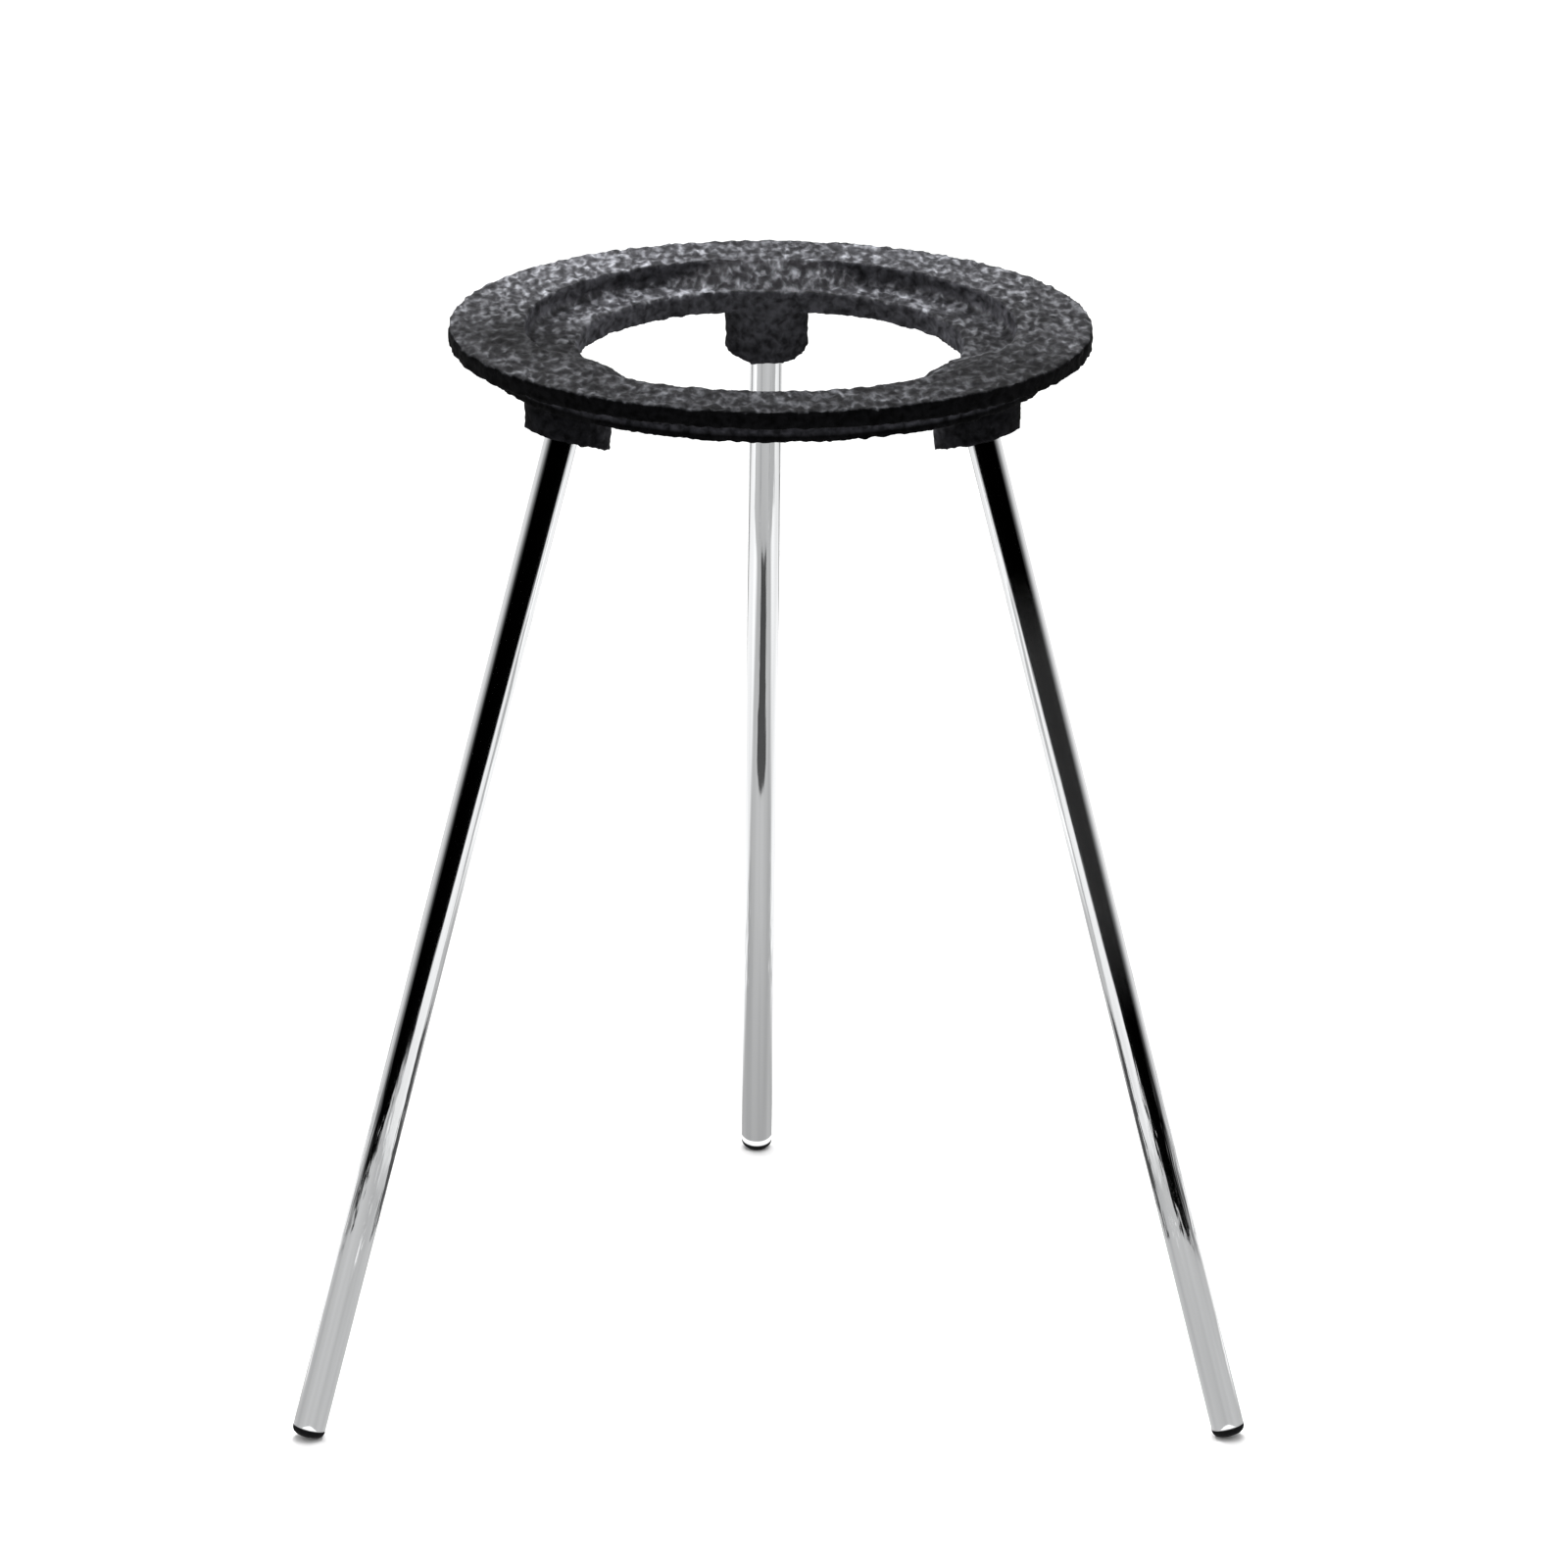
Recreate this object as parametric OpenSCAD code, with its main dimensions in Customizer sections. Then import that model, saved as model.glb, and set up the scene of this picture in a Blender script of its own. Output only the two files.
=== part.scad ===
// Laboratory tripod stand: a cast-iron ring on three screwed-in steel legs.
// Millimetres, +Z up. The origin is on the floor, under the centre of the ring.

/* [Ring] */
// Height of the rim's top face above the floor
stand_h = 213.5; // [150:0.5:260]
// Outer diameter of the ring
ring_d = 126; // [118:0.5:150]
// Diameter of the round opening
opening_d = 75; // [66:0.5:78]
// Diameter of the recess round the opening
recess_d = 95.5; // [88:0.5:104]
// Depth of the recess below the rim's top face
recess_depth = 3.9; // [2:0.1:5]
// Thickness of the rim, outside the hub
rim_t = 3.9; // [2.4:0.1:5]
// Diameter of the thick hub under the rim
hub_d = 112; // [109:0.5:113]
// Depth of the hub's underside below the rim's top face
hub_depth = 8.5; // [7.2:0.1:10.5]
// Radius on the casting's outer edges
edge_r = 0.6; // [0.3:0.1:1]
// Radius on the edge between the recess and the opening
lip_r = 0.9; // [0.5:0.1:1.5]
// Radius in the casting's inner corners
cove_r = 1.2; // [0.5:0.1:1.5]

/* [Leg bosses] */
// Diameter of each boss
boss_d = 17; // [12:0.1:17.2]
// How much of a boss's side the opening's wall trims away
boss_trim = 0.4; // [0.3:0.1:2]
// Depth of the middle of a boss's end face below the rim's top face
boss_depth = 17.1; // [14.5:0.1:20]
// Radius of the fillet between a boss and the hub's underside
boss_fillet = 1; // [0.5:0.1:1.1]
// Drop of the metal over the rear boss, from the rim to the opening
rear_drop = 4.4; // [1:0.1:5]
// Radius across the rounded back of the metal over the rear boss
rear_back_r = 140; // [90:1:180]
// Drop of the metal over a front boss, from the rim to the opening
front_drop = 3.2; // [1:0.1:5]
// Radius across the rounded back of the metal over a front boss
front_back_r = 45; // [30:1:90]
// Width of the metal over a boss that stays level with the rim
fill_level = 1; // [0.5:0.1:2]

/* [Legs] */
// Diameter of each leg rod
leg_d = 6.5; // [5:0.1:9]
// Angle of each leg from the vertical
splay = 16.5; // [8:0.5:24]
// Depth at which a leg's axis meets its boss's axis, below the rim's top face
cross_depth = 12; // [10.5:0.1:14]
// Radius on the foot's edge
foot_r = 1.4; // [0.5:0.1:2.2]
// Diameter of the threaded spigot at the top of a leg
spigot_d = 5; // [3:0.1:5]
// Length of the spigot
spigot_len = 9; // [5:0.5:9.5]
// Chamfer on the spigot's end
spigot_chamfer = 0.6; // [0.2:0.1:1.2]

/* [Fits] */
// Clearance round the spigot, in its tapped hole
thread_gap = 0.05; // [0.02:0.01:0.2]
// Depth of the tapped hole beyond the spigot's end
hole_extra = 1; // [0.5:0.1:1.5]

/* [Hidden] */
$fn = 96;
round_fn = 240; // sides of the large round faces
past = 1; // how far a cut runs past the face it opens

ring_r = ring_d / 2;
opening_r = opening_d / 2;
recess_r = recess_d / 2;
hub_r = hub_d / 2;
boss_at = opening_r + boss_d / 2 - boss_trim; // the opening's wall trims each boss
leg_r = leg_d / 2;
spigot_r = spigot_d / 2;

az_rear = 90;
az_front_left = 210;
az_front_right = 330;

// Along a leg, measured down its axis from the point where it meets the boss's axis
seat_at = (boss_depth - cross_depth) * cos(splay);
foot_lowest = foot_r + (leg_r - foot_r) * sin(splay);
foot_at = foot_r + (stand_h - cross_depth - foot_lowest) / cos(splay);

// The back of the metal over a boss leaves the rim's level here and falls towards the opening
fill_from = recess_r - fill_level;

// Cuts a sharp outer corner at the origin, with metal towards +X and +Y, to radius r
module round_off(r) {
    difference() {
        translate([-past, -past]) square(r + past);
        translate([r, r]) circle(r);
    }
}

// Fills an inner corner at the origin, open towards +X and +Y, to radius r
module cove(r) {
    difference() {
        square(r);
        translate([r, r]) circle(r);
    }
}

// Half section of the casting's body, with the rim's top face on the X axis
module body_section() {
    difference() {
        union() {
            translate([0, -rim_t]) square([ring_r, rim_t]);
            translate([0, -hub_depth]) square([hub_r, hub_depth]);
            translate([hub_r, -rim_t]) mirror([0, 1]) cove(cove_r);
        }
        translate([ring_r, 0]) rotate(180) round_off(edge_r);
        translate([ring_r, -rim_t]) mirror([1, 0]) round_off(edge_r);
        translate([hub_r, -hub_depth]) mirror([1, 0]) round_off(edge_r);
    }
}

// Half section of the recess as a cut, with the rounded edges of the rim and the opening
module recess_section() {
    difference() {
        translate([0, -recess_depth]) square([recess_r, recess_depth + past]);
        translate([recess_r, -recess_depth]) mirror([1, 0]) cove(cove_r);
    }
    translate([recess_r, 0]) mirror([0, 1]) round_off(edge_r);
    translate([opening_r, -recess_depth]) mirror([0, 1]) round_off(lip_r);
}

// Places its children at the leg's place on the ring, with +Z down the leg's axis
module on_leg_axis(az) {
    rotate(az)
        translate([boss_at, 0, stand_h - cross_depth])
            rotate([0, 180 - splay, 0])
                children();
}

// The space kept solid over a boss: its rounded back falls from the rim to the opening
module boss_fill(az, drop, back_r) {
    rotate(az)
        translate([fill_from, 0, 0])
            rotate([0, -90 - atan2(drop, fill_from - opening_r), 0])
                translate([-back_r, 0, -ring_r])
                    cylinder(r = back_r, h = ring_d, $fn = round_fn);
}

// A boss under the hub, cut square to its leg, with a fillet round its root
module boss() {
    root = -(recess_depth + hub_depth) / 2;
    bottom = boss_depth + boss_d;
    difference() {
        translate([boss_at, 0, 0]) {
            translate([0, 0, -bottom]) cylinder(d = boss_d, h = bottom + root);
            rotate_extrude()
                translate([boss_d / 2, -hub_depth]) {
                    mirror([0, 1]) cove(boss_fillet);
                    translate([-past, 0]) square([past + boss_fillet, hub_depth + root]);
                }
        }
        translate([boss_at, 0, -cross_depth])
            rotate([0, 180 - splay, 0])
                translate([0, 0, seat_at]) cylinder(d = 4 * boss_d, h = 2 * bottom);
    }
}

module tapped_hole() {
    hole_r = spigot_r + thread_gap;
    depth = spigot_len + hole_extra;
    translate([0, 0, seat_at - depth]) cylinder(r = hole_r, h = depth + past);
}

module ring() {
    color([0.13, 0.13, 0.14])
    difference() {
        translate([0, 0, stand_h]) {
            rotate_extrude($fn = round_fn) body_section();
            for (az = [az_rear, az_front_left, az_front_right]) rotate(az) boss();
        }
        translate([0, 0, stand_h])
            difference() {
                rotate_extrude($fn = round_fn) recess_section();
                boss_fill(az_rear, rear_drop, rear_back_r);
                boss_fill(az_front_left, front_drop, front_back_r);
                boss_fill(az_front_right, front_drop, front_back_r);
            }
        cylinder(r = opening_r, h = 2 * stand_h, $fn = round_fn);
        for (az = [az_rear, az_front_left, az_front_right]) on_leg_axis(az) tapped_hole();
    }
}

// One leg: a rod with a rounded foot, and a spigot that screws into its boss
module leg(az) {
    color([0.80, 0.80, 0.82])
    on_leg_axis(az)
        rotate_extrude() {
            difference() {
                translate([0, seat_at]) square([leg_r, foot_at - seat_at]);
                translate([leg_r, foot_at]) rotate(180) round_off(foot_r);
            }
            difference() {
                translate([0, seat_at - spigot_len]) square([spigot_r, spigot_len]);
                translate([spigot_r, seat_at - spigot_len])
                    rotate(45) square(spigot_chamfer * sqrt(2), center = true);
            }
        }
}

module leg_front_left() { leg(az_front_left); }
module leg_front_right() { leg(az_front_right); }
module leg_rear() { leg(az_rear); }

ring();
leg_front_left();
leg_front_right();
leg_rear();
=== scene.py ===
import math

import bpy
from mathutils import Matrix, Vector


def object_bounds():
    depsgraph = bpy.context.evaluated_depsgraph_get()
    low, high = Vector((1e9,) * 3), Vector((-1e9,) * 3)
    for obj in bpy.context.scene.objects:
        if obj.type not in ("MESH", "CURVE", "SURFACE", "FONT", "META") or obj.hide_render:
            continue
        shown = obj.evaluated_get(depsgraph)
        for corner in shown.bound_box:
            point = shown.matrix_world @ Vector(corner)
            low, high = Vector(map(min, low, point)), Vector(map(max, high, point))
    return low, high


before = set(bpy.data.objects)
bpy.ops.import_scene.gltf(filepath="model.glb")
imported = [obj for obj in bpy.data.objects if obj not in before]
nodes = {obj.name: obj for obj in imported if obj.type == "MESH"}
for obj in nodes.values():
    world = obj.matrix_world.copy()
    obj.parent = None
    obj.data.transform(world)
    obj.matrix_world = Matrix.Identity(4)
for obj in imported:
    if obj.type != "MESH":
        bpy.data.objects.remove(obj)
bpy.context.view_layer.update()
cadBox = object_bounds()
scene = bpy.context.scene
mm = 0.001


# Hex colours are sRGB, and the shaders want linear light
def linearColour(hexColour):
    parts = [int(hexColour[i:i + 2], 16) / 255 for i in (1, 3, 5)]
    return tuple(c / 12.92 if c <= 0.04045 else ((c + 0.055) / 1.055) ** 2.4 for c in parts) + (1.0,)


# Adds one node: settings are sockets or properties by name or number, links are sockets fed by other outputs
def addNode(tree, kind, settings=None, links=None):
    node = tree.nodes.new(kind)
    for key, value in (settings or {}).items():
        if isinstance(key, int) or key in node.inputs:
            node.inputs[key].default_value = value
        else:
            setattr(node, key, value)
    for key, source in (links or {}).items():
        tree.links.new(source, node.inputs[key])
    return node


def newMaterial(name):
    material = bpy.data.materials.new(name)
    material.use_nodes = True
    material.node_tree.nodes.clear()
    return material, material.node_tree


def meshObject(name, corners, faces):
    mesh = bpy.data.meshes.new(name)
    mesh.from_pydata(corners, [], faces)
    obj = bpy.data.objects.new(name, mesh)
    scene.collection.objects.link(obj)
    return obj


# Camera: long lens, looking down on the ring
view = {
    "distance": 1.6,  # metres from the point it looks at
    "elevation": 18.77,
    "turn": 1.2,  # degrees that the stand is turned from square-on
    "lookSide": 3.18,  # mm to the right of the ring's axis
    "lookDown": 95.19,  # mm below the rim's top
    "lens": 184.7,  # mm, on a 36 mm sensor
    "roll": 0.4,
}


def makeCamera(v):
    data = bpy.data.cameras.new("studioCamera")
    data.lens, data.sensor_width = v["lens"], 36
    data.clip_start, data.clip_end = 0.05, 60
    camera = bpy.data.objects.new("studioCamera", data)
    scene.collection.objects.link(camera)
    turn = Matrix.Rotation(math.radians(-v["turn"]), 3, "Z")
    look = turn @ Vector((v["lookSide"] * mm, 0, cadBox[1].z - v["lookDown"] * mm))
    up = math.radians(v["elevation"])
    back = turn @ Vector((0, -math.cos(up), math.sin(up)))
    camera.location = look + back * v["distance"]
    level = (-back).to_track_quat("-Z", "Y").to_matrix()
    camera.rotation_euler = (level @ Matrix.Rotation(math.radians(v["roll"]), 3, "Z")).to_euler()
    scene.camera = camera


makeCamera(view)
print("camera placed")


# Ring: grey iron cast in sand, thinly painted black
# The sand leaves a coarse grain. Bench wear bares its peaks on the top, which are painted bright as glints
# The sides stay dull black
ringIron = {
    "voxel": 0.55,  # mm, cell of the remeshed casting
    "lumpSize": 1.8,  # mm, unevenness of the sand mould
    "lumpDepth": 0.38,  # mm, always inwards, so the casting keeps its size
    "lumpContrast": 2.2,
    "grainSize": 1.5,  # mm, clumps of moulding sand; single grains are too fine to show
    "grainStretch": 2.3,  # the mould's face was struck off front to back, so its clumps lie long that way
    "grainDepth": 0.28,  # mm
    "paint": "#060607",  # thin black, in shade on the rim's side
    "litStripe": "#28282c",  # painted light: a paler stripe along the top of the hub's wall under the rim, standing for the light it catches there
    "litStripeReach": 58.5,  # mm from the ring's axis
    "litStripeFade": (7.1, 6.3),  # mm below the rim's top, where the painted light fades in
    "bossFade": (8.2, 9.5),  # mm below the rim's top, where the bosses begin
    "bossPaleShare": 0.15,  # share of that paler tone on the bosses
    "inwardFadeDepths": (19, 9),  # mm below the rim's top, over which the painted light on inward walls fades, darker towards the bottom
    "inwardLightFloor": 0.45,  # share of that painted light left at the bottom
    "innerWallLight": "#2a2a2d",  # painted light: a paler grey on walls that face in at the opening
    "bare": "#1a1a1c",  # worn iron in the hollows of the grain
    "glint": "#5f6064",  # and on its peaks, painted bright as glints
    "roughness": 0.55,  # of rubbed iron
    "paintRoughness": 0.85,
    # x, y, solid and outer radius in mm, and level: under 1 is painted shade, over 1 is painted light
    "paintedShadePatches": [(-41, -8, 10, 26, 0.32), (-38, -42, 4, 18, 0.78), (45, -34, 8, 24, 0.54), (42, 6, 8, 20, 0.62),
               (0, 57, 8, 26, 0.66), (-38, 40, 5, 18, 1.25)],
}


def ironMaterial(s):
    material, tree = newMaterial("sandCastIron")
    rimTop = cadBox[1].z
    place = addNode(tree, "ShaderNodeTexCoord").outputs["Object"]
    normal = addNode(tree, "ShaderNodeNewGeometry").outputs["Normal"]
    up = addNode(tree, "ShaderNodeSeparateXYZ", links={0: normal}).outputs["Z"]
    height = addNode(tree, "ShaderNodeSeparateXYZ", links={0: place}).outputs["Z"]
    struck = addNode(tree, "ShaderNodeVectorMath",
                     {"operation": "MULTIPLY", 1: (1, 1 / s["grainStretch"], 1)},
                     {0: place}).outputs[0]
    grain = addNode(tree, "ShaderNodeTexNoise",
                    {"Scale": 1 / (s["grainSize"] * mm), "Detail": 1.8, "Roughness": 0.5, "Distortion": 0.3},
                    {"Vector": struck}).outputs[0]
    patch = addNode(tree, "ShaderNodeTexNoise", {"Scale": 1 / (s["grainSize"] * 6 * mm), "Detail": 2.0},
                    {"Vector": place}).outputs[0]
    # Bare iron on faces that look up, broken at its edges by the grain
    facing = addNode(tree, "ShaderNodeMath", {"operation": "MULTIPLY_ADD", 1: 0.5},
                     {0: grain, 2: up}).outputs[0]
    worn = addNode(tree, "ShaderNodeMapRange", {"From Min": 0.7, "From Max": 1.05},
                   {"Value": facing}).outputs[0]
    # Walls that look in at the opening carry painted light, a paler grey, and the hub's wall a painted lit
    # stripe near its top
    flat = addNode(tree, "ShaderNodeVectorMath", {"operation": "MULTIPLY", 1: (1, 1, 0)},
                   {0: place}).outputs[0]
    out = addNode(tree, "ShaderNodeVectorMath", {"operation": "NORMALIZE"}, {0: flat}).outputs[0]
    reach = addNode(tree, "ShaderNodeVectorMath", {"operation": "LENGTH"}, {0: flat}).outputs["Value"]
    outwards = addNode(tree, "ShaderNodeVectorMath", {"operation": "DOT_PRODUCT"}, {0: out, 1: normal})
    inwardLight = addNode(tree, "ShaderNodeMapRange", {"From Min": 0.2, "From Max": -0.7},
                   {"Value": outwards.outputs["Value"]}).outputs[0]
    # Painted light: a paler stripe near the top of the hub's wall, and a little of it on the bosses
    under = addNode(tree, "ShaderNodeMapRange",
                    {"From Min": (s["litStripeReach"] + 1) * mm, "From Max": s["litStripeReach"] * mm},
                    {"Value": reach}).outputs[0]
    low = addNode(tree, "ShaderNodeMapRange",
                  {"From Min": rimTop - s["litStripeFade"][0] * mm, "From Max": rimTop - s["litStripeFade"][1] * mm},
                  {"Value": height}).outputs[0]
    litBand = addNode(tree, "ShaderNodeMath", {"operation": "MULTIPLY"}, {0: under, 1: low}).outputs[0]
    boss = addNode(tree, "ShaderNodeMapRange",
                   {"From Min": rimTop - s["bossFade"][0] * mm, "From Max": rimTop - s["bossFade"][1] * mm,
                    "To Max": s["bossPaleShare"]}, {"Value": height}).outputs[0]
    litStripe = addNode(tree, "ShaderNodeMath", {"operation": "MAXIMUM"}, {0: litBand, 1: boss}).outputs[0]
    painted = addNode(tree, "ShaderNodeMix",
                      {"data_type": "RGBA", 6: linearColour(s["paint"]), 7: linearColour(s["litStripe"])},
                      {0: litStripe}).outputs[2]
    inwardFade = addNode(tree, "ShaderNodeMapRange",
                    {"From Min": rimTop - s["inwardFadeDepths"][0] * mm, "From Max": rimTop - s["inwardFadeDepths"][1] * mm,
                     "To Min": s["inwardLightFloor"]}, {"Value": height}).outputs[0]
    innerLight = addNode(tree, "ShaderNodeMath", {"operation": "MULTIPLY"}, {0: inwardLight, 1: inwardFade}).outputs[0]
    smooth = addNode(tree, "ShaderNodeMix", {"data_type": "RGBA", 7: linearColour(s["innerWallLight"])},
                     {0: innerLight, 6: painted}).outputs[2]
    mottle = addNode(tree, "ShaderNodeMapRange",
                     {"From Min": 0.32, "From Max": 0.68, "To Min": 0.4, "To Max": 1.7},
                     {"Value": grain}).outputs[0]
    side = addNode(tree, "ShaderNodeVectorMath", {"operation": "SCALE"},
                   {0: smooth, "Scale": mottle}).outputs[0]
    # Peaks of the grain are painted bright as glints, brighter in patches
    peaks = addNode(tree, "ShaderNodeMapRange", {"From Min": 0.42, "From Max": 0.76},
                    {"Value": grain}).outputs[0]
    glintPatches = addNode(tree, "ShaderNodeMapRange",
                     {"From Min": 0.3, "From Max": 0.7, "To Min": 0.45, "To Max": 1.15},
                     {"Value": patch}).outputs[0]
    sharp = addNode(tree, "ShaderNodeMath", {"operation": "POWER", 1: 2.0}, {0: peaks}).outputs[0]
    bright = addNode(tree, "ShaderNodeMath", {"operation": "MULTIPLY"}, {0: sharp, 1: glintPatches}).outputs[0]
    hollow = addNode(tree, "ShaderNodeMapRange",
                     {"From Min": 0.3, "From Max": 0.55, "To Min": 0.45, "To Max": 1.3},
                     {"Value": grain}).outputs[0]
    dark = addNode(tree, "ShaderNodeVectorMath", {"operation": "SCALE", 0: linearColour(s["bare"])[:3]},
                   {"Scale": hollow}).outputs[0]
    bare = addNode(tree, "ShaderNodeMix", {"data_type": "RGBA", 7: linearColour(s["glint"])},
                   {0: bright, 6: dark}).outputs[2]
    # Painted shade darkens the top in patches, and painted light brightens it in one
    for x, y, solid, edge, level in s["paintedShadePatches"]:
        away = addNode(tree, "ShaderNodeVectorMath", {"operation": "DISTANCE", 1: (x * mm, y * mm, 0)},
                       {0: flat})
        paintedLevel = addNode(tree, "ShaderNodeMapRange",
                        {"From Min": solid * mm, "From Max": edge * mm, "To Min": level,
                         "interpolation_type": "SMOOTHSTEP"}, {"Value": away.outputs["Value"]}).outputs[0]
        bare = addNode(tree, "ShaderNodeVectorMath", {"operation": "SCALE"},
                       {0: bare, "Scale": paintedLevel}).outputs[0]
    colour = addNode(tree, "ShaderNodeMix", {"data_type": "RGBA"}, {0: worn, 6: side, 7: bare}).outputs[2]
    fine = addNode(tree, "ShaderNodeBump", {"Strength": 1.0, "Distance": s["grainDepth"] * mm},
                   {"Height": grain}).outputs[0]
    # Paint in the sand's hollows is rougher than rubbed iron
    gloss = addNode(tree, "ShaderNodeMapRange", {"To Min": s["paintRoughness"], "To Max": s["roughness"]},
                    {"Value": worn}).outputs[0]
    shader = addNode(tree, "ShaderNodeBsdfPrincipled",
                     {"IOR": 1.5, "Specular IOR Level": 0.03},
                     {"Base Color": colour, "Normal": fine, "Roughness": gloss})
    addNode(tree, "ShaderNodeOutputMaterial", links={"Surface": shader.outputs[0]})
    return material


# The mould's unevenness is real shape: the casting is remeshed and pushed in a little
def dressRing(ring, s):
    weld = ring.modifiers.new("weld", "WELD")
    weld.merge_threshold = 0.002 * mm
    skin = ring.modifiers.new("castSkin", "REMESH")
    skin.mode = "VOXEL"
    skin.voxel_size = s["voxel"] * mm
    skin.use_smooth_shade = True
    lumps = bpy.data.textures.new("mouldLumps", "CLOUDS")
    lumps.noise_scale = s["lumpSize"] * mm
    lumps.noise_depth = 1
    lumps.contrast = s["lumpContrast"]
    lumps.use_clamp = True  # nothing stands above the casting's own faces
    press = ring.modifiers.new("mouldLumps", "DISPLACE")
    press.texture = lumps
    stretch = bpy.data.objects.new("mouldStretch", None)
    stretch.scale = (1, s["grainStretch"], 1)
    scene.collection.objects.link(stretch)
    press.texture_coords, press.texture_coords_object = "OBJECT", stretch
    press.strength = s["lumpDepth"] * mm
    press.mid_level = 1.02  # just over 1, so even the highest points lie inside
    ring.data.materials.clear()
    ring.data.materials.append(ironMaterial(s))


dressRing(nodes["ring"], ringIron)
print("ring dressed")


# Legs: bright nickel plate on drawn steel rod
# Drawing leaves fine marks along the rod, so reflections stay sharp across it and smear into streaks along it
legPlate = {
    "plate": "#d9dadb",
    "paintedFootShadow": "#0b0b0c",  # painted shadow: the foot's end is dark and dull, standing for the shadow where it meets the table
    "roughness": 0.06,
    "markWidth": 0.5,  # mm round the rod
    "markLength": 30,  # mm along it
    "markDepth": 0.022,  # mm
    "markDepthLow": 0.045,  # mm, nearer the floor, where the legs are knocked and wiped
    "markFade": (100, 60),  # mm above the floor, from the one to the other
    "knockWidth": 0.6,  # mm
    "knockLength": 8,  # mm
    "knockDepth": 0.17,  # mm, drawn deeper than real so that it shows at this distance
    "knockLow": (32, 44),  # mm above the floor, where the band of knocks fades in
    "knockHigh": (80, 58),  # and where it fades out
    "footShadowDepth": 1.9,  # mm of painted shadow at the foot
    "endTaper": 0.25,  # slope of the ground edge above it
    "endTop": 3.0,  # mm from the end where the ground edge starts
    "film": 0.04,  # grease from handling dulls the mirror, on a stretch of the right rod
    "filmLow": (84, 106),  # mm above the floor, where it fades in
    "filmHigh": (172, 156),  # and where it fades out
    "smearSize": 22.2,  # mm round the rod
    "splay": 16.5,  # degrees from the vertical
}


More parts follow.
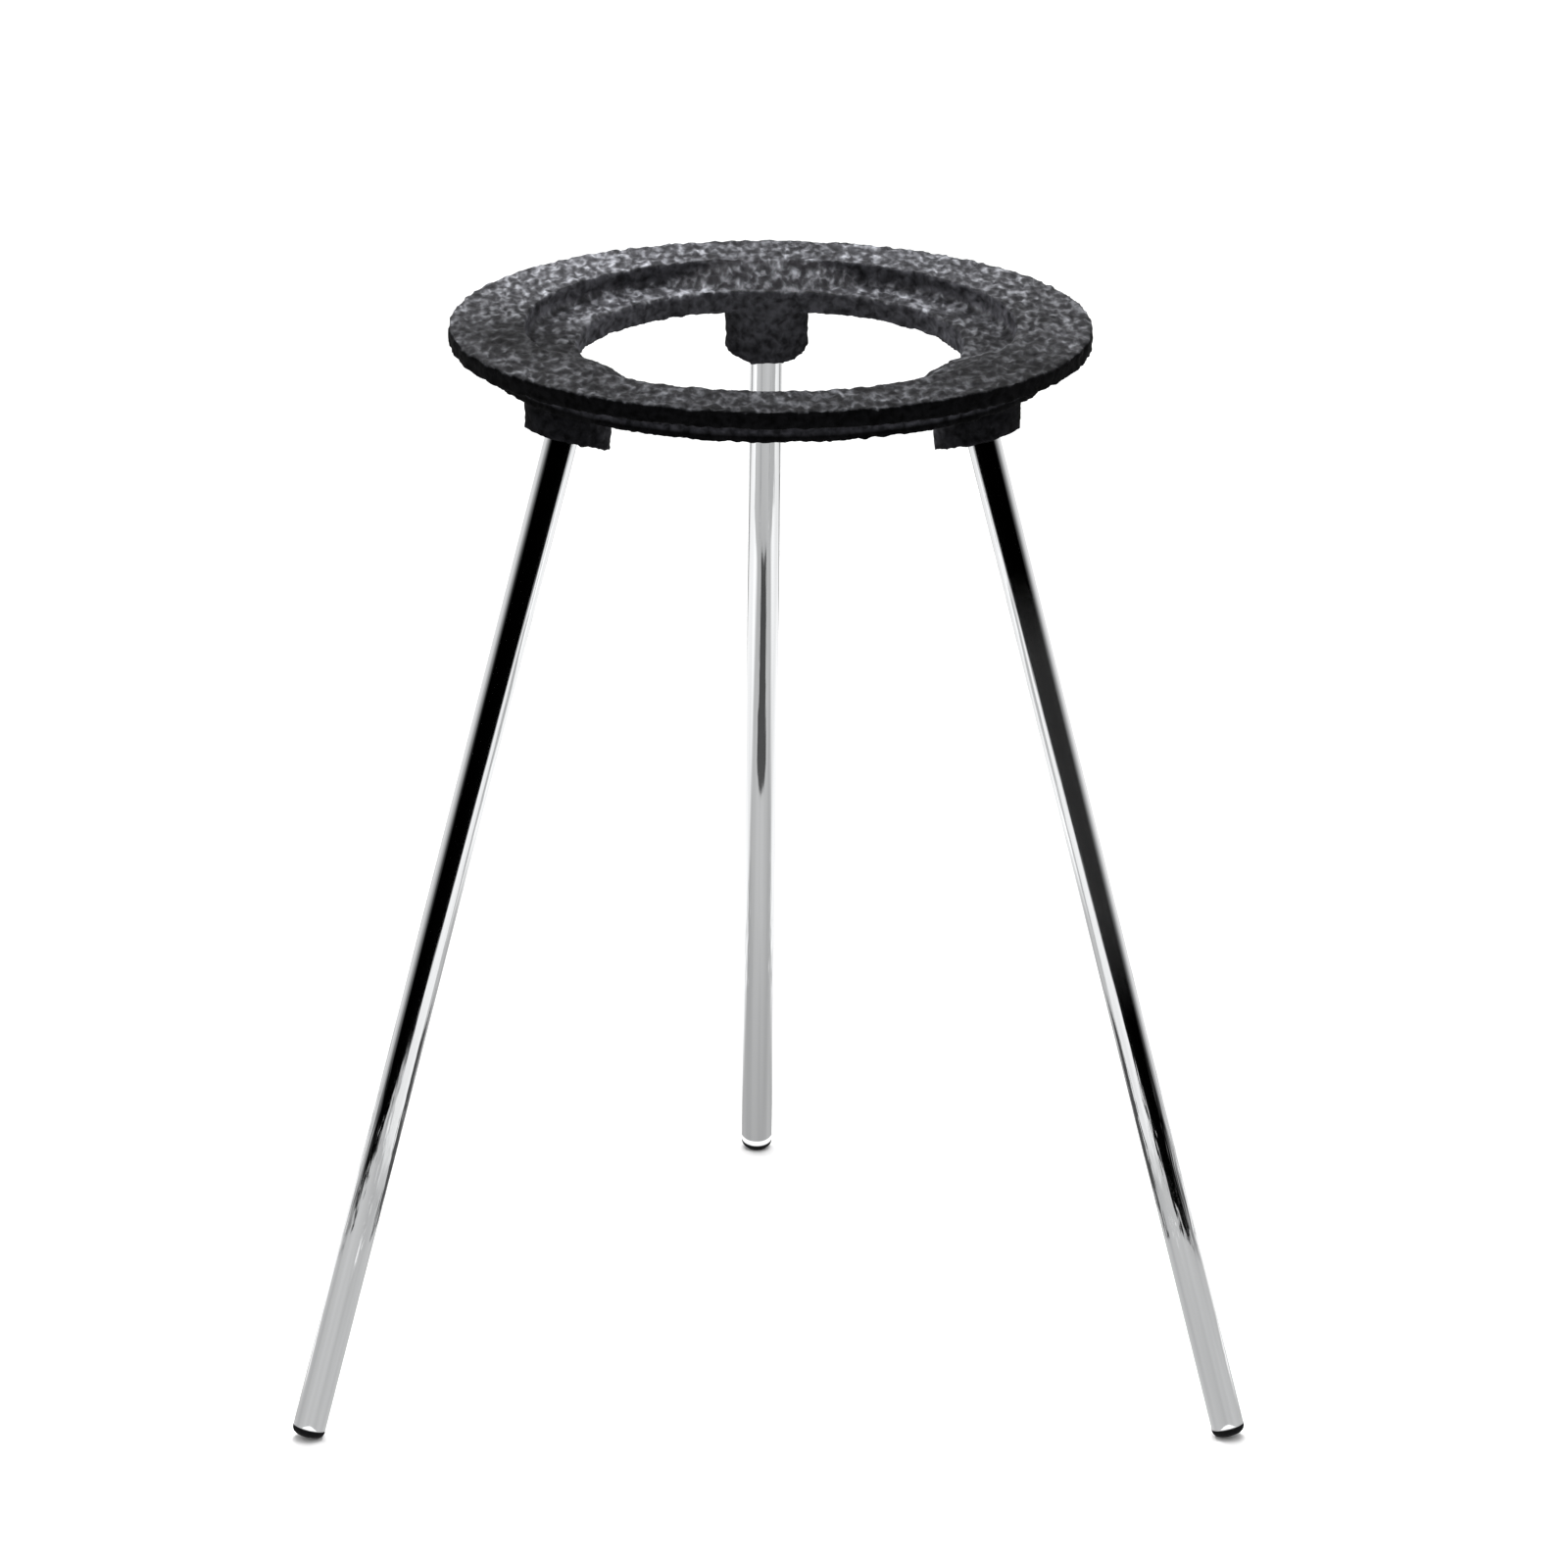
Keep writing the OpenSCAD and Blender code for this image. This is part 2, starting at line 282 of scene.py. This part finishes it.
def plateMaterial(name, rod, azimuth, film, s):
    material, tree = newMaterial(name)
    lean = math.radians(s["splay"])
    axis = Vector((-math.sin(lean) * math.cos(azimuth), -math.sin(lean) * math.sin(azimuth), math.cos(lean)))
    endAt = min(axis.dot(v.co) for v in rod.data.vertices)
    place = addNode(tree, "ShaderNodeTexCoord").outputs["Object"]
    # Turned so that the rod's own length is Z
    upright = addNode(tree, "ShaderNodeVectorRotate",
                      {"rotation_type": "Z_AXIS", "Angle": -azimuth}, {"Vector": place}).outputs[0]
    along = addNode(tree, "ShaderNodeVectorRotate",
                    {"rotation_type": "Y_AXIS", "Angle": lean}, {"Vector": upright}).outputs[0]
    squeeze = s["markWidth"] / s["markLength"]
    drawn = addNode(tree, "ShaderNodeVectorMath", {"operation": "MULTIPLY", 1: (1, 1, squeeze)},
                    {0: along}).outputs[0]
    marks = addNode(tree, "ShaderNodeTexNoise",
                    {"Scale": 1 / (s["markWidth"] * mm), "Detail": 3.0, "Roughness": 0.55},
                    {"Vector": drawn}).outputs[0]
    height = addNode(tree, "ShaderNodeSeparateXYZ", links={0: place}).outputs["Z"]
    scuffed = addNode(tree, "ShaderNodeMapRange",
                      {"From Min": s["markFade"][0] * mm, "From Max": s["markFade"][1] * mm,
                       "To Min": s["markDepth"] * mm, "To Max": s["markDepthLow"] * mm},
                      {"Value": height}).outputs[0]
    line = addNode(tree, "ShaderNodeBump", {"Strength": 1.0},
                   {"Height": marks, "Distance": scuffed}).outputs[0]
    # Knocks from use lie in a band some way above the foot, and fray the edges of what the rod mirrors
    short = addNode(tree, "ShaderNodeVectorMath",
                    {"operation": "MULTIPLY", 1: (1, 1, s["knockWidth"] / s["knockLength"])},
                    {0: along}).outputs[0]
    knocks = addNode(tree, "ShaderNodeTexNoise",
                     {"Scale": 1 / (s["knockWidth"] * mm), "Detail": 1.3, "Distortion": 0.3},
                     {"Vector": short}).outputs[0]
    above = addNode(tree, "ShaderNodeMapRange",
                    {"From Min": s["knockLow"][0] * mm, "From Max": s["knockLow"][1] * mm},
                    {"Value": height}).outputs[0]
    below = addNode(tree, "ShaderNodeMapRange",
                    {"From Min": s["knockHigh"][0] * mm, "From Max": s["knockHigh"][1] * mm,
                     "To Max": s["knockDepth"] * mm}, {"Value": height}).outputs[0]
    knocked = addNode(tree, "ShaderNodeMath", {"operation": "MULTIPLY"}, {0: above, 1: below}).outputs[0]
    line = addNode(tree, "ShaderNodeBump", {"Strength": 1.0},
                   {"Height": knocks, "Distance": knocked, "Normal": line}).outputs[0]
    # The edge above the dark end was eased on a wheel, which tips its reflections down to the table
    fromEnd = addNode(tree, "ShaderNodeSeparateXYZ", links={0: along}).outputs["Z"]
    eased = addNode(tree, "ShaderNodeMapRange", {"From Min": endAt, "From Max": endAt + s["endTop"] * mm},
                    {"Value": fromEnd}).outputs[0]
    line = addNode(tree, "ShaderNodeBump", {"Strength": 1.0, "Distance": s["endTaper"] * s["endTop"] * mm},
                   {"Height": eased, "Normal": line}).outputs[0]
    # The foot's end is painted dark, dull and not metal: painted shadow where it meets the table
    end = addNode(tree, "ShaderNodeMapRange",
                  {"From Min": endAt + s["footShadowDepth"] * mm, "From Max": endAt + 0.85 * s["footShadowDepth"] * mm},
                  {"Value": fromEnd}).outputs[0]
    clouding = addNode(tree, "ShaderNodeTexNoise",
                       {"Scale": 1 / (3.2 * s["markWidth"] * mm), "Detail": 1.0},
                       {"Vector": drawn}).outputs[0]
    tone = addNode(tree, "ShaderNodeMapRange",
                   {"From Min": 0.3, "From Max": 0.7, "To Min": 0.88, "To Max": 1.1},
                   {"Value": clouding}).outputs[0]
    nickel = addNode(tree, "ShaderNodeVectorMath", {"operation": "SCALE", 0: linearColour(s["plate"])[:3]},
                     {"Scale": tone}).outputs[0]
    colour = addNode(tree, "ShaderNodeMix", {"data_type": "RGBA", 7: linearColour(s["paintedFootShadow"])},
                     {0: end, 6: nickel}).outputs[2]
    metal = addNode(tree, "ShaderNodeMath", {"operation": "SUBTRACT", 0: 1.0}, {1: end}).outputs[0]
    dull = addNode(tree, "ShaderNodeMapRange", {"To Min": s["roughness"], "To Max": 1.0},
                   {"Value": end}).outputs[0]
    if film:
        rise = addNode(tree, "ShaderNodeMapRange",
                       {"From Min": s["filmLow"][0] * mm, "From Max": s["filmLow"][1] * mm},
                       {"Value": height}).outputs[0]
        fall = addNode(tree, "ShaderNodeMapRange",
                       {"From Min": s["filmHigh"][0] * mm, "From Max": s["filmHigh"][1] * mm},
                       {"Value": height}).outputs[0]
        smears = addNode(tree, "ShaderNodeTexNoise", {"Scale": 1 / (s["smearSize"] * mm), "Detail": 3.0},
                         {"Vector": drawn}).outputs[0]
        patchy = addNode(tree, "ShaderNodeMapRange",
                         {"From Min": 0.3, "From Max": 0.7, "To Min": 0.6 * film, "To Max": 1.4 * film},
                         {"Value": smears}).outputs[0]
        stretch = addNode(tree, "ShaderNodeMath", {"operation": "MULTIPLY"}, {0: rise, 1: fall}).outputs[0]
        greasy = addNode(tree, "ShaderNodeMath", {"operation": "MULTIPLY"},
                         {0: stretch, 1: patchy}).outputs[0]
        metal = addNode(tree, "ShaderNodeMath", {"operation": "SUBTRACT"}, {0: metal, 1: greasy}).outputs[0]
    shader = addNode(tree, "ShaderNodeBsdfPrincipled",
                     {"Specular IOR Level": 0.1},
                     {"Base Color": colour, "Normal": line, "Metallic": metal, "Roughness": dull})
    addNode(tree, "ShaderNodeOutputMaterial", links={"Surface": shader.outputs[0]})
    return material


legAzimuths = {"leg_front_left": 210, "leg_front_right": 330, "leg_rear": 90}
for legName, degrees in legAzimuths.items():
    rod = nodes[legName]
    film = legPlate["film"] if legName == "leg_front_right" else 0
    plate = plateMaterial("nickelPlate_" + legName, rod, math.radians(degrees), film, legPlate)
    rod.data.materials.clear()
    rod.data.materials.append(plate)
print("legs dressed")


# Studio: white floor, soft light from above, and what the plate mirrors
studio = {
    "floor": "#f4f4f4",
    "roomLight": 0.95,
    "topLight": 16.5,  # watts
    "sideLight": 0.25,  # watts, a low light behind the ring on the left
    "sideShare": 0.68,  # its pair on the right is weaker
    "sideLightAt": (57, 93, 55),  # mm from the middle of the rim's top
    "sideLightAims": (30, 42, 0),
    "tableEdge": 0.5,  # metres from the stand to where the table has gone dark
    "tableNear": 0.7,  # level that the plate mirrors under the stand
    "tableFar": 1.6,  # and further out
    "darkWithin": 64,  # degrees either side of straight ahead where the room is dark
    "whiteFrom": 130,  # and beyond which it is white
    "dimGlow": 0.1,  # level of the dim card under the ring's middle
    "frontFoot": (91.5, -52.8),  # mm, where the right front foot stands; the left one mirrors it
    "wallReach": 0.16,  # metres from a front foot to the low white wall outside it
    "wallGlow": 0.7,  # level of the low walls, and of the paper inside them
    # Degrees to the right of straight ahead, seen from a front foot, and the wall's height there in mm
    "wallLeft": [(24, 50), (12, 64), (-4, 62), (-38, 61), (-76, 52), (-128, 16)],
    "wallRight": [(-30, 44), (-8, 31), (19, 41), (36, 46), (76, 47), (128, 16)],
    "apronFrom": {-1: -45, 1: -60},  # degrees, where the paper inside each wall begins
    "centreGlow": 1.25,  # level of the white card between the front rods
    # Places along Y and the white card's height there, in mm
    "centreTop": [(-45, 151), (-60, 135), (-80, 113), (-100, 92), (-120, 78), (-140, 63), (-160, 55),
                  (-180, 48), (-200, 40), (-220, 33), (-240, 26), (-270, 17), (-300, 9)],
    "footGlow": 1.6,  # level of the bright spot of table at a foot
    "footSpot": 5.3,  # mm, its radius
    "footReach": 107.2,  # mm from the stand's axis to the spot
    "footAhead": 1.2,  # mm that it lies nearer the front
}


# Only shiny surfaces see these cards, so they light nothing
def glossOnly(obj, material):
    obj.data.materials.append(material)
    obj.visible_camera = obj.visible_diffuse = obj.visible_shadow = False
    obj.visible_transmission = obj.visible_volume_scatter = False


def glowMaterial(name, strength):
    material, tree = newMaterial(name)
    shader = addNode(tree, "ShaderNodeEmission", {"Color": (1, 1, 1, 1), "Strength": strength})
    addNode(tree, "ShaderNodeOutputMaterial", links={0: shader.outputs[0]})
    return material


def ringFaces(name, rings, steps=96):
    corners = [(r * math.cos(t), r * math.sin(t), z) for r, z in rings
               for t in (2 * math.pi * k / steps for k in range(steps))]
    faces = [(i * steps + k, i * steps + (k + 1) % steps,
              (i + 1) * steps + (k + 1) % steps, (i + 1) * steps + k)
             for i in range(len(rings) - 1) for k in range(steps)]
    return meshObject(name, corners, faces)


# An upright card from pairs of corners, each a bottom one and a top one
def cardObject(name, corners):
    faces = [(k, k + 2, k + 3, k + 1) for k in range(0, len(corners) - 2, 2)]
    return meshObject(name, corners, faces)


def diskLight(name, size, power, place, aim):
    data = bpy.data.lights.new(name, "AREA")
    data.shape, data.size, data.energy = "DISK", size, power
    light = bpy.data.objects.new(name, data)
    light.location = place
    light.rotation_euler = (aim - light.location).to_track_quat("-Z", "Y").to_euler()
    light.visible_glossy = False
    scene.collection.objects.link(light)
    return light


def makeLights(s):
    world = bpy.data.worlds.new("whiteRoom")
    world.use_nodes = True
    world.node_tree.nodes.clear()
    air = addNode(world.node_tree, "ShaderNodeBackground",
                  {"Color": (1, 1, 1, 1), "Strength": s["roomLight"]})
    addNode(world.node_tree, "ShaderNodeOutputWorld", links={0: air.outputs[0]})
    scene.world = world

    floor = ringFaces("floor", [(0.0001, 0), (0.5, 0), (14, 0)])
    material, tree = newMaterial("mattPaper")
    shader = addNode(tree, "ShaderNodeBsdfDiffuse", {"Color": linearColour(s["floor"])})
    addNode(tree, "ShaderNodeOutputMaterial", links={0: shader.outputs[0]})
    floor.data.materials.append(material)

    diskLight("softTop", 1.4, s["topLight"], (0, 0.35, 1.7), Vector((0, 0, 0.2)))
    for side, power in ((-1, s["sideLight"]), (1, s["sideShare"] * s["sideLight"])):
        x, y, z = (c * mm for c in s["sideLightAt"])
        aimX, aimY, aimZ = (c * mm for c in s["sideLightAims"])
        light = diskLight("softSide", 0.08, power, (side * x, y, cadBox[1].z + z),
                          Vector((side * aimX, aimY, cadBox[1].z + aimZ)))
        light.data.spread = math.radians(100)
        light.visible_camera = False


# The table's glow close by, then the dark room in front, fading to white behind
def makeRoom(s):
    table = ringFaces("tableGlow", [(0.0001, 0.0003), (s["tableEdge"], 0.0003)])
    material, tree = newMaterial("tableGlow")
    place = addNode(tree, "ShaderNodeTexCoord").outputs["Object"]
    far = addNode(tree, "ShaderNodeVectorMath", {"operation": "LENGTH"}, {0: place}).outputs["Value"]
    part = addNode(tree, "ShaderNodeMath", {"operation": "DIVIDE", 1: s["tableEdge"]}, {0: far}).outputs[0]
    glow = addNode(tree, "ShaderNodeValToRGB", links={0: part})
    ramp = glow.color_ramp.elements
    ramp[0].position, ramp[0].color = 0.25, (s["tableNear"], s["tableNear"], s["tableNear"], 1)
    ramp[1].position, ramp[1].color = 1.0, (0, 0, 0, 1)
    for position in (0.34, 0.78):
        ramp.new(position).color = (s["tableFar"], s["tableFar"], s["tableFar"], 1)
    behind = addNode(tree, "ShaderNodeSeparateXYZ", links={0: place}).outputs["Y"]
    dimmer = addNode(tree, "ShaderNodeMapRange",
                     {"From Min": 0.0, "From Max": 0.11, "To Min": 1.0, "To Max": 0.8},
                     {"Value": behind}).outputs[0]
    shader = addNode(tree, "ShaderNodeEmission", links={"Color": glow.outputs[0], "Strength": dimmer})
    addNode(tree, "ShaderNodeOutputMaterial", links={0: shader.outputs[0]})
    glossOnly(table, material)

    room = ringFaces("darkRoom", [(s["tableEdge"], 0.0003), (3.0, 0.0003), (3.0, 1.2)])
    material, tree = newMaterial("darkRoom")
    place = addNode(tree, "ShaderNodeTexCoord").outputs["Object"]
    parts = addNode(tree, "ShaderNodeSeparateXYZ", links={0: place}).outputs
    ahead = addNode(tree, "ShaderNodeMath", {"operation": "MULTIPLY", 1: -1.0}, {0: parts["Y"]}).outputs[0]
    angle = addNode(tree, "ShaderNodeMath", {"operation": "ARCTAN2"}, {0: parts["X"], 1: ahead}).outputs[0]
    turned = addNode(tree, "ShaderNodeMath", {"operation": "ABSOLUTE"}, {0: angle}).outputs[0]
    fade = addNode(tree, "ShaderNodeMapRange",
                   {"From Min": math.radians(s["darkWithin"]), "From Max": math.radians(s["whiteFrom"]),
                    "interpolation_type": "SMOOTHSTEP"}, {"Value": turned}).outputs[0]
    shader = addNode(tree, "ShaderNodeEmission", {"Color": (1, 1, 1, 1)}, {"Strength": fade})
    addNode(tree, "ShaderNodeOutputMaterial", links={0: shader.outputs[0]})
    glossOnly(room, material)


def makeCards(s):
    # A dim card under the ring's middle puts a thin dark line along the inner side of each front rod
    corners = [(x * mm, y * mm, 0.022) for x, y in ((-46, -45), (46, -45), (46, 22), (-46, 22))]
    dim = meshObject("dimCard", corners, [(0, 1, 2, 3)])
    glossOnly(dim, glowMaterial("dimCard", s["dimGlow"]))

    # A white card stands between the front rods, and gives each its bright inner band
    # Its top is where that band meets the black core, so it slopes down towards the front
    centre = cardObject("centreCard", [(0, y * mm, z * mm) for y, top in s["centreTop"] for z in (1, top)])
    material, tree = newMaterial("centreCard")
    place = addNode(tree, "ShaderNodeTexCoord").outputs["Object"]
    height = addNode(tree, "ShaderNodeSeparateXYZ", links={0: place}).outputs["Z"]
    level = addNode(tree, "ShaderNodeMapRange",
                    {"From Min": 0.014, "From Max": 0.026,
                     "To Min": s["wallGlow"], "To Max": s["centreGlow"]}, {"Value": height}).outputs[0]
    shader = addNode(tree, "ShaderNodeEmission", {"Color": (1, 1, 1, 1)}, {"Strength": level})
    addNode(tree, "ShaderNodeOutputMaterial", links={0: shader.outputs[0]})
    glossOnly(centre, material)

    # A bright spot of table round each foot, which the foot's rounding mirrors
    material = glowMaterial("footGlow", s["footGlow"])
    for degrees in legAzimuths.values():
        turn = math.radians(degrees)
        spot = ringFaces("footGlow", [(0.0001, 0.0006), (s["footSpot"] * mm, 0.0006)])
        spot.location = (s["footReach"] * mm * math.cos(turn),
                         s["footReach"] * mm * math.sin(turn) - s["footAhead"] * mm, 0)
        glossOnly(spot, material)

    # Low white walls outside the front feet, with paper inside them, turn the lower part of each rod pale
    white = glowMaterial("wallGlow", s["wallGlow"])
    paper = glowMaterial("apronGlow", s["wallGlow"])
    for side, tops in ((-1, s["wallLeft"]), (1, s["wallRight"])):
        foot = Vector((side * s["frontFoot"][0] * mm, s["frontFoot"][1] * mm, 0))
        corners = []
        for turn, top in tops:
            t = math.radians(turn)
            spot = foot + Vector((math.sin(t), -math.cos(t), 0)) * s["wallReach"]
            corners += [(spot.x, spot.y, 0), (spot.x, spot.y, top * mm)]
        glossOnly(cardObject("lowWall", corners), white)
        corners = [foot + Vector((0, 0, 0.0005))]
        for turn in range(s["apronFrom"][side], 129, 9):
            t = math.radians(side * turn)
            corners.append(corners[0] + Vector((math.sin(t), -math.cos(t), 0)) * s["wallReach"])
        apron = meshObject("apron", corners, [(0, k, k + 1) for k in range(1, len(corners) - 1)])
        glossOnly(apron, paper)


makeLights(studio)
makeRoom(studio)
makeCards(studio)
scene.view_settings.view_transform = "Standard"
print("studio lit")

bpy.context.view_layer.update()
